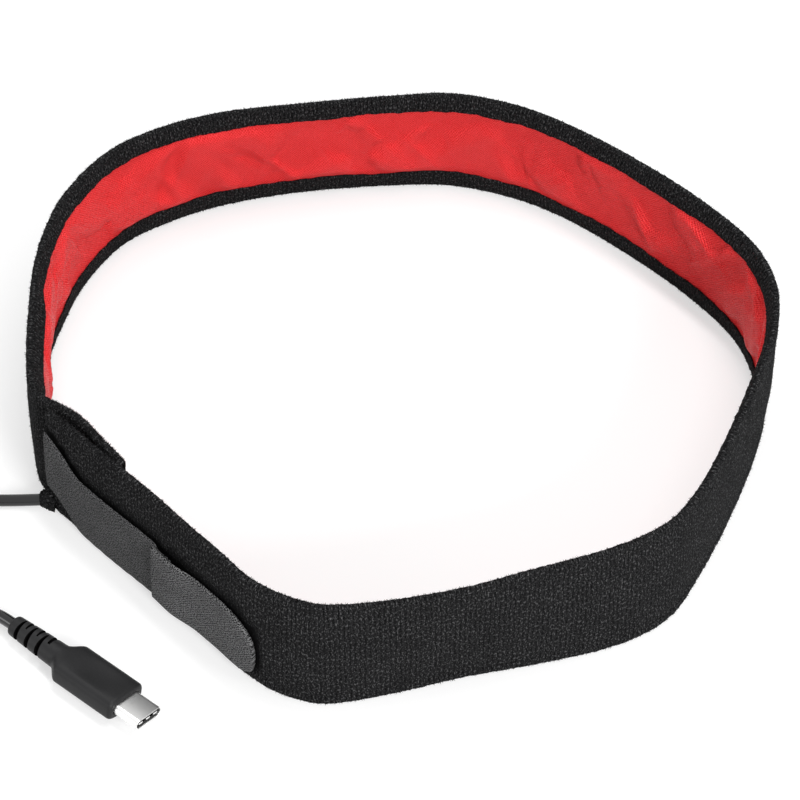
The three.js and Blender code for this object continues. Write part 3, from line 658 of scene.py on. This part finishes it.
# Band: the knit cover runs round the loop and laps over itself at the near left corner
band = {
    "height": 33.0, "wall": 0.7, "hem": 0.4, "hemDepth": 6.2, "topHem": 4.6, "rounding": 0.45, "step": 0.575,
    "tailGap": 0.35, "tailStandoff": 1.8, "fold": 0.45, "stack": 1.19, "liner": 0.25, "linerTuck": 1.4,
    "layerGap": 0.1, "heatedFrom": 52.0, "heatedToTail": 38.0, "swell": 12.0, "terminal": 24.0,
    "terminalBulge": 1.2, "puff": 0.42, "lowSeam": 2.8, "topSeam": 30.05, "fuzz": 0.05, "edgeFuzz": 0.07,
    "pressDepth": 0.5, "hemDarker": 0.3,
}
lapRoute = [(-86.2, -29.6, 1.9), (-81.9, -33.9, 2.1), (-74.9, -41.2, 2.3), (-68.7, -47.4, 2.3)]
loopRoute = [
    (-60, -55.8, 2.2), (-51.7, -64.9, 2.2), (-43.2, -73.4, 1.9), (-36.8, -80, 1.7), (-29.2, -85.6, 2.2),
    (-20, -88.7, 2), (-13.3, -88.3, 1.4), (-0.3, -85.3, 0), (13.7, -81.3, -0.8), (28.1, -78.2, 0.9),
    (45.5, -73.6, 2.1), (55.1, -69.5, 2.4), (63.1, -63.3, 1.9), (70.1, -52.2, 0.9), (78, -36.7, 0.9),
    (87, -15.1, 1), (91, -1, 0.2), (91.2, 14.3, -1.2), (87.5, 27.9, -1.3), (77.8, 42.7, -0.8),
    (63.9, 58.1, -0.2), (45.3, 74.7, 0.6), (30.6, 83.3, 0.4), (13.3, 88.5, 0.6), (-1, 88.7, 1.5),
    (-27.3, 86, 2.2), (-50.6, 80.2, 0.6), (-66.6, 72.4, -0.3), (-77.4, 63.9, -0.4), (-86.9, 47.3, -0.8),
    (-91.2, 32, -0.3), (-93.4, 20, 0.9), (-93.4, 6, 1.3), (-92.5, -8, 1.3), (-91, -18.5, 1.4),
    (-88.6, -24, 1.6),
]
edgeThickness = band["wall"] + band["fold"] + band["hem"]
tail = []
for k in range(1, len(lapRoute)):
    standoff = band["tailStandoff"] * (1 - (k - 1) / (len(lapRoute) - 2))
    tail.append(moved(lapRoute, -(edgeThickness + band["tailGap"] + standoff))[k])
bandRoute = [*lapRoute, *loopRoute, *tail]
bandLength = stationsAlong(bandRoute, 5)["length"]
heatedTo = bandLength - band["heatedToTail"]


def pocketAt(run):
    end = band["swell"]
    last = 1 - rise(run, heatedTo, heatedTo + end)
    fill = np.minimum(rise(run, band["heatedFrom"] - end, band["heatedFrom"]), last)
    start = heatedTo - band["terminal"]
    bulge = band["terminalBulge"] * np.minimum(rise(run, start - end, start), last)
    return band["fold"] + band["stack"] * fill + bulge, fill


def hemEdge(run, seed, depth):
    return depth + 0.28 * wander(run, seed, 5, (9, 60)) + 0.12 * wander(run, seed + 1, 3, (3, 7))


# Strap and hook tab, in mm along and up the band
strap = {
    "width": 19.0, "thick": 0.8, "low": 0.9, "lift": 7.4, "liftRun": (6, 20), "start": 6.5, "gap": 0.3,
    "tabWidth": 18.2, "tabThick": 1.1, "tabLow": 2.0, "tabLength": 34.0, "overlap": 5.0, "topRadius": 9.0,
    "lowRadius": 4.5, "tabEnd": 80.5,
}

# Where the strap and the tab lie on the cover (start, end, low, high, corner radius): the pile is pressed
# down along their edges, and painted shade darkens the knit there
footprint = {
    "strap": (0.4, 41.0, 0.9, 19.9, 0.6), "tab": (40.0, 74.4, 2.0, 20.2, 6.0), "reach": 1.25, "ease": 2.6,
}


def shadeAndDentOf(run, up, out):
    away = np.full(out.shape, 99.0)
    for key in ("strap", "tab"):
        start, end, low, high, corner = footprint[key]
        lifted = strap["lift"] * (1 - rise(run + strap["start"], *strap["liftRun"])) if key == "strap" else 0.0
        dx = np.maximum(start + corner - run, run - end + corner)
        dy = np.maximum(low + lifted + corner - up, up - high - lifted + corner)
        outside = np.hypot(np.maximum(dx, 0), np.maximum(dy, 0)) + np.minimum(np.maximum(dx, dy), 0) - corner
        away = np.minimum(away, outside)
    outer = out > -0.4
    # painted shade: the knit's colour is darkened in a band along the edges of the strap and the tab
    paintedDark = np.exp(-((np.maximum(away, 0) / footprint["reach"]) ** 2)) * outer
    dent = band["pressDepth"] * (1 - rise(away, 0.0, footprint["ease"])) * outer
    return paintedDark, dent


def bump(value, middle, width):
    return math.exp(-(((value - middle) / width) ** 2))


def makeCover():
    stations = stationsAlong(bandRoute, band["step"])
    run = stations["run"]
    pocket, fill = pocketAt(run)
    high, wall, hem, rounding = band["height"], band["wall"], band["hem"], band["rounding"]
    lowSeam, topSeam = band["lowSeam"], band["topSeam"]
    rng = np.random.default_rng(5)
    beat = np.where(np.arange(len(run)) % 2 == 0, 1.0, -1.0) * rng.uniform(0.4, 1.3, len(run))
    faceUps = [
        rounding, 0.9, 1.5, 2.1, 2.5, lowSeam, 3.1, 3.6, 4.6, 6.5, 9, 12, 15, 18, 21, 24, 26.5, 28.2, 29.2,
        29.8, topSeam, 30.3, 30.9, 31.5, 32.1, high - rounding,
    ]
    outs, ups, girths = [], [], []

    def add(out, up, girth):
        for kept, value in ((outs, out), (ups, up), (girths, girth)):
            kept.append(np.broadcast_to(value, run.shape).astype(float))

    sag = wander(run, 21, 6, (35, 160))
    for up in faceUps:
        part = np.clip((up - lowSeam) / (topSeam - lowSeam), 0, 1)
        between = 0 < part < 1
        puff = band["puff"] * math.sin(math.pi * part) ** 0.8 if between else 0.0
        groove = -0.2 * bump(up, lowSeam, 0.3) - 0.1 * bump(up, topSeam, 0.35)
        roll = 0.12 * bump(up, 1.5, 0.7) + 0.1 * bump(up, 31.4, 0.7)
        ripple = wander(run + 1.6 * up, 31, 6, (14, 45)) * between
        soft = 0.16 * sag * math.sin(math.pi * up / high) + 0.1 * ripple
        add(puff * (0.5 + 0.5 * fill) + groove + roll + soft + 0.035 * beat, up, up)
    for turn in np.linspace(0, math.pi, 8)[1:-1]:
        up = high - rounding + (rounding + 0.09 * beat) * math.sin(turn)
        add(-edgeThickness / 2 * (1 - math.cos(turn)), up, high + edgeThickness * turn / math.pi)
    hemParts = (0.0, 0.12, 0.28, 0.45, 0.62, 0.78, 0.9, 1.0)
    fold = wall + band["fold"]
    lowFlat, topFlat = band["hemDepth"] - band["linerTuck"], band["topHem"] - band["linerTuck"]

    def hemOut(depth, flat):
        part = np.interp(depth, [0, flat * 0.6, flat], [0, 0.62, 1])
        return fold + (wall + pocket - fold) * part

    topEdge, lowEdge = hemEdge(run, 41, band["topHem"]), hemEdge(run, 61, band["hemDepth"])
    pucker = 0.06 * wander(run, 71, 4, (2.2, 6))

    def onHem(part, edge, flat):
        depth = rounding + (edge - rounding) * part
        stitched = -0.1 * bump(part, 0.45, 0.12) + pucker * math.sin(math.pi * part)
        return depth, -(hemOut(depth, flat) + hem + stitched) - 0.03 * beat

    for part in hemParts:
        depth, out = onHem(part, topEdge, topFlat)
        add(out, high - depth, high + edgeThickness + depth)
    add(-(wall + pocket + hem * 0.5), high - topEdge - 0.12, high + edgeThickness + topEdge)
    add(-(wall + pocket), high - topEdge, high + edgeThickness + topEdge + 0.4)

    def under(flat):
        return [(wall + pocket, flat), (hemOut(np.full(len(run), flat * 0.6), flat), flat * 0.6), (fold, 0.9),
                (wall, 0.9)]

    for out, depth in under(topFlat):
        add(-out, high - depth, 0.0)
    for up in (24.0, 16.5, 9.0):
        add(-wall, up, 0.0)
    for out, depth in under(lowFlat)[::-1]:
        add(-out, depth, 0.0)
    add(-(wall + pocket), lowEdge, -edgeThickness - lowEdge - 0.4)
    add(-(wall + pocket + hem * 0.5), lowEdge + 0.12, -edgeThickness - lowEdge)
    for part in hemParts[::-1]:
        depth, out = onHem(part, lowEdge, lowFlat)
        add(out, depth, -edgeThickness - depth)
    for turn in np.linspace(math.pi, 0, 8)[1:-1]:
        up = rounding - (0.42 + 0.03 * beat) * math.sin(turn)
        add(-edgeThickness / 2 * (1 - math.cos(turn)), up, -edgeThickness * turn / math.pi)
    out, up, girth = (np.stack(kept, 1) for kept in (outs, ups, girths))
    edge = (up > high - 0.8) | (up < 0.8)
    seen = girth != 0
    noise = rng.normal(size=(2, *out.shape))
    noise[:, :, 1:-1] = (noise[:, :, :-2] + 2 * noise[:, :, 1:-1] + noise[:, :, 2:]) / 3
    sway = np.clip(noise, -1.8, 1.8) * np.where(edge, band["edgeFuzz"], band["fuzz"]) * seen
    paintedDark, dent = shadeAndDentOf(run[:, None], up, out)
    paintedDark = np.maximum(paintedDark, band["hemDarker"] * (out < -1.0))  # the hems are made darker
    out = out + sway[0] - dent
    up = np.maximum(up + np.where(edge, np.abs(sway[1]) * np.sign(up - high / 2), 0), 0.0)
    rings = placed(stations, out, up)
    cover = ringPiece("knit_cover", rings, run[:, None], girth, knitBlack, paintedDark)
    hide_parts("outer_cover")
    return rings, girth, run, paintedDark


coverRings, coverGirth, coverRun, coverPaintedDark = makeCover()
print("cover made")


# Brushed pile: short fibres that stand out of the knit, thickest on the folded edges
pile = {"fibres": 42000, "length": (0.3, 0.75), "width": (0.045, 0.08), "onEdges": 0.5, "atLap": 4.0, "lap": 26}


def makePile():
    rng = np.random.default_rng(77)
    around = np.roll(coverRings, -1, 1) - np.roll(coverRings, 1, 1)
    normal = np.cross(np.gradient(coverRings, axis=0), around)
    normal /= np.linalg.norm(normal, axis=2)[:, :, None]
    if np.mean(np.sum(normal[:, 8, :2] * coverRings[:, 8, :2], 1)) < 0:
        normal = -normal
    up = coverRings[:, :, 2]
    seen = (coverGirth != 0) & (coverPaintedDark < 0.5)
    area = np.linalg.norm(around, axis=2) * seen
    edge = (up > band["height"] - 0.8) | (up < 0.8)
    onEdge, onFace = pile["onEdges"] / (area * edge).sum(), (1 - pile["onEdges"]) / (area * ~edge).sum()
    weight = area * np.where(edge, onEdge, onFace)
    lap = (coverRun < pile["lap"]) | (coverRun > bandLength - pile["lap"])
    weight = weight * np.where(lap[:, None] & (up > band["height"] - 1.2), pile["atLap"], 1)
    weight[0] = weight[-1] = 0
    chosen = rng.choice(weight.size, pile["fibres"], p=(weight / weight.sum()).ravel())
    i, j = np.unravel_index(chosen, weight.shape)
    foot, out = coverRings[i, j], normal[i, j]
    foot = foot + (coverRings[i - 1, j] - foot) * rng.uniform(0, 1, (len(i), 1))
    aim = out * rng.uniform(0.35, 1.0, (len(i), 1)) + rng.normal(0, 0.5, (len(i), 3))
    aim /= np.linalg.norm(aim, axis=1)[:, None]
    side = np.cross(aim, rng.normal(size=(len(i), 3)))
    side /= np.linalg.norm(side, axis=1)[:, None]
    other = np.cross(aim, side)
    long = rng.uniform(*pile["length"], (len(i), 1))
    wide = rng.uniform(*pile["width"], (len(i), 1))
    base = foot - out * 0.08
    turns = [(math.cos(t), math.sin(t)) for t in (0, 2 * math.pi / 3, 4 * math.pi / 3)]
    points = np.stack([base + wide * (c * side + s * other) for c, s in turns] + [base + aim * long], 1)
    points[:, :, 2] = np.maximum(points[:, :, 2], 0.0)
    first = np.arange(len(i))[:, None, None] * 4
    faces = (first + np.array([(0, 2, 1), (0, 1, 3), (1, 2, 3), (2, 0, 3)])).reshape(-1, 3)
    mesh = bpy.data.meshes.new("knit_pile")
    mesh.from_pydata(((points.reshape(-1, 3) + shift) * mm).tolist(), [], faces.tolist())
    place = mesh.attributes.new("place", "FLOAT_VECTOR", "POINT")
    spots = np.zeros((len(i), 4, 3), np.float32)
    spots[:, :, 0] = coverRun[i][:, None] + rng.uniform(-20, 20, (len(i), 1))
    spots[:, :, 1] = coverGirth[i, j][:, None]
    place.data.foreach_set("vector", spots.ravel())
    mesh.materials.append(knitBlack)
    piece = addPiece("knit_pile", mesh)


makePile()
print("pile made")


# The knit is gathered round the cord where it leaves the corner
tuck = {"from": -85.4, "to": -89.2, "centre": (-28.8, 2.0), "wide": 3.1, "narrow": 1.6}


def makeTuck():
    part = np.linspace(0, 1, 26)
    x = tuck["from"] + (tuck["to"] - tuck["from"]) * part
    radius = tuck["narrow"] + (tuck["wide"] - tuck["narrow"]) * (1 - part)
    radius = radius * np.sqrt(np.clip(1 - np.maximum(0, part - 0.9) ** 2 / 0.012, 0.05, 1))
    angle = 2 * math.pi * np.arange(48) / 48
    rng = np.random.default_rng(9)
    rough = 1 + 0.05 * rng.normal(size=(26, 48)) + 0.05 * np.sin(7 * angle + 3 * part[:, None])
    size = radius[:, None] * rough
    y = tuck["centre"][0] + size * np.cos(angle)
    z = np.maximum(tuck["centre"][1] + size * np.sin(angle) * 1.15, 0.05)
    rings = np.stack([np.broadcast_to(x[:, None], y.shape), y, z], 2)
    piece = ringPiece("corner_tuck", rings, 40 + angle[None, :] * tuck["wide"], x[:, None], knitBlack)


makeTuck()
print("corner tuck made")


# Liner: satin strip under the hems, with slack that lies in soft slanting folds
liner = {
    "step": 0.62, "rows": 34, "folds": 320, "slant": (25, 75), "foldLength": (5, 15), "foldWidth": (0.9, 2.6),
    "height": 4.2, "puff": 0.35, "endGap": 2.0, "most": 2.0,
}


def makeLiner():
    stations = stationsAlong(bandRoute, liner["step"], liner["endGap"], bandLength - liner["endGap"])
    run = stations["run"]
    pocket, fill = pocketAt(run)
    low = band["hemDepth"] - band["linerTuck"] + band["layerGap"]
    high = band["height"] - (band["topHem"] - band["linerTuck"] + band["layerGap"])
    ups = np.linspace(low, high, liner["rows"])
    rng = np.random.default_rng(11)
    folds = np.zeros((len(run), len(ups)))
    for _ in range(liner["folds"]):
        middle, up = rng.uniform(0, bandLength), rng.uniform(low + 2, high - 2)
        slant = math.radians(rng.uniform(*liner["slant"])) * rng.choice([-1, 1])
        length, width = rng.uniform(*liner["foldLength"]), rng.uniform(*liner["foldWidth"])
        size = rng.uniform(0.3, 1.0) * rng.choice([-0.6, 1])
        near = np.abs(run - middle) < 3 * length
        x, y = run[near, None] - middle, ups[None, :] - up
        across = -x * math.sin(slant) + y * math.cos(slant)
        along = x * math.cos(slant) + y * math.sin(slant)
        steep = np.where(across > 0, width, 2.6 * width)  # one flank of a fold is steeper than the other
        ridge = np.exp(-np.sqrt((across / steep) ** 2 + 0.03))
        folds[near] += size * ridge * np.exp(-((along / length) ** 2))
    folds -= np.mean(folds, 1)[:, None] * 0.6
    hold = np.clip(np.minimum(ups - band["hemDepth"], band["height"] - band["topHem"] - ups) / 2.6, 0, 1) ** 0.8
    spread = hold[None, :] * (liner["puff"] * (0.4 + 0.6 * fill[:, None]) + liner["height"] * folds)
    spread = liner["most"] * np.tanh(np.maximum(spread, -0.15) / liner["most"])
    seat = band["wall"] + pocket[:, None] - band["layerGap"]
    back = np.broadcast_to(-(seat - band["liner"]), (len(run), 4))
    outs = np.concatenate([-seat - spread, back], 1)
    allUps = np.broadcast_to(np.concatenate([ups, np.linspace(high, low, 4)]), outs.shape)
    rings = placed(stations, outs, allUps)
    strip = ringPiece("satin_liner", rings, run[:, None], allUps, satinRed)
    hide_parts("inner_liner")


makeLiner()
print("liner made")


# Strap sewn on at the corner, and the hook tab on its end
strapRoute = [moved([loopRoute[-2], loopRoute[-1], lapRoute[0]], strap["gap"])[1],
              *moved([*lapRoute, *loopRoute[:6]], strap["gap"])]


def bandPiece(name, stations, near, thick, low, high, rows, material, crown):
    part = np.linspace(0, 1, rows)
    ups = low[:, None] + (high - low)[:, None] * part[None, :]
    rounded = np.sqrt(np.clip(1 - (np.abs(2 * part - 1) ** 14), 0, 1))
    swell = crown * (1 - (2 * part - 1) ** 2)
    outer = near[:, None] + (thick * (0.5 + 0.5 * rounded) + swell)[None, :]
    inner = near[:, None] + thick * (0.5 - 0.5 * rounded)[None, :]
    allUps = np.concatenate([ups, ups[:, ::-1]], 1)
    rings = placed(stations, np.concatenate([outer, inner[:, ::-1]], 1), allUps)
    return ringPiece(name, rings, stations["run"][:, None], allUps, material)


def makeStrap():
    tabStart = strap["tabEnd"] - strap["tabLength"]
    end = tabStart + strap["overlap"]
    stations = stationsAlong(strapRoute, 0.5, strap["start"], end)
    run = stations["run"]
    lift = strap["lift"] * (1 - rise(run, *strap["liftRun"]))
    low = strap["low"] + lift + 0.06 * wander(run, 81, 3, (2, 6))
    high = strap["low"] + lift + strap["width"] + 0.06 * wander(run, 83, 3, (2, 6))
    high -= 1.3 * rise(run, tabStart - 0.4, tabStart + 0.4)  # its end stays hidden under the tab
    near = 0.25 * np.sin(math.pi * np.clip((run - strap["start"]) / (end - strap["start"]), 0, 1))
    piece = bandPiece("elastic_web", stations, near, strap["thick"], low, high, 26, elasticGrey, 0.15)
    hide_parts("elastic_strap")


def makeTab():
    start, end = strap["tabEnd"] - strap["tabLength"], strap["tabEnd"]
    stations = stationsAlong(strapRoute, 0.4, start, end)
    toEnd = end - stations["run"]
    inset = lambda radius: radius - np.sqrt(np.maximum(0, radius**2 - np.maximum(0, radius - toEnd) ** 2))
    past = start + strap["overlap"] + strap["gap"]
    near = (strap["thick"] + strap["gap"]) * (1 - rise(stations["run"], past, past + 2 * strap["overlap"]))
    low = strap["tabLow"] + inset(strap["lowRadius"])
    high = strap["tabLow"] + strap["tabWidth"] - inset(strap["topRadius"])
    piece = bandPiece("hook_cloth", stations, near, strap["tabThick"], low, high, 30, hookGrey, 0.1)
    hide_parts("hook_tab")


makeStrap()
makeTab()
print("strap and tab made")


# Pale floor, soft studio light and a white surround
studio = {
    "floor": 2.4, "floorColor": 0.5, "lift": 0.54, "world": 0.46,
    "lamps": {
        "key": {"place": (0.15, 0.12, 1.05), "aim": (0, 0, 0), "size": (1.2, 0.12), "power": 6.5},
        "fill": {"place": (0.5, -0.85, 0.5), "aim": (0, 0, 0.02), "size": (0.35, 0.3), "power": 8.5},
        "side": {"place": (-0.95, -0.35, 0.45), "aim": (0, 0, 0.02), "size": (0.6, 0.4), "power": 2.0},
    },
}


def whiteForView(tree):
    path = tree.nodes.new("ShaderNodeLightPath")
    seen = calc(tree, "ADD", path.outputs["Is Camera Ray"], path.outputs["Is Glossy Ray"], clamp=True)
    return calc(tree, "ADD", seen, path.outputs["Is Transmission Ray"], clamp=True)


def makeFloor():
    half = studio["floor"] / 2
    mesh = bpy.data.meshes.new("floor")
    corners = [(-half, -half, 0), (half, -half, 0), (half, half, 0), (-half, half, 0)]
    mesh.from_pydata(corners, [], [(0, 1, 2, 3)])
    material, tree, shader = newMaterial("floorPale", {"Roughness": 0.9, "Specular IOR Level": 0.0})
    shader.inputs["Base Color"].default_value = (studio["floorColor"],) * 3 + (1,)
    shader.inputs["Emission Color"].default_value = (1, 1, 1, 1)
    lift = calc(tree, "MULTIPLY", whiteForView(tree), studio["lift"])
    tree.links.new(lift, shader.inputs["Emission Strength"])
    mesh.materials.append(material)
    floor = bpy.data.objects.new("floor", mesh)
    bpy.context.scene.collection.objects.link(floor)


def makeLamp(name, place, aim, size, power):
    data = bpy.data.lights.new(name, "AREA")
    data.shape = "RECTANGLE"
    data.size, data.size_y = size
    data.energy = power
    lamp = bpy.data.objects.new(name, data)
    lamp.location = place
    lamp.rotation_euler = (Vector(aim) - Vector(place)).to_track_quat("-Z", "Y").to_euler()
    bpy.context.scene.collection.objects.link(lamp)


def makeWorld():
    world = bpy.data.worlds.new("surround")
    world.use_nodes = True
    tree = world.node_tree
    background = tree.nodes["Background"]
    background.inputs["Color"].default_value = (1, 1, 1, 1)
    strength = calc(tree, "MULTIPLY_ADD", whiteForView(tree), 1 - studio["world"], studio["world"])
    tree.links.new(strength, background.inputs["Strength"])
    bpy.context.scene.world = world


makeFloor()
for lampName, lamp in studio["lamps"].items():
    makeLamp(lampName, **lamp)
makeWorld()
bpy.context.scene.view_settings.view_transform = "Standard"
print("studio set")
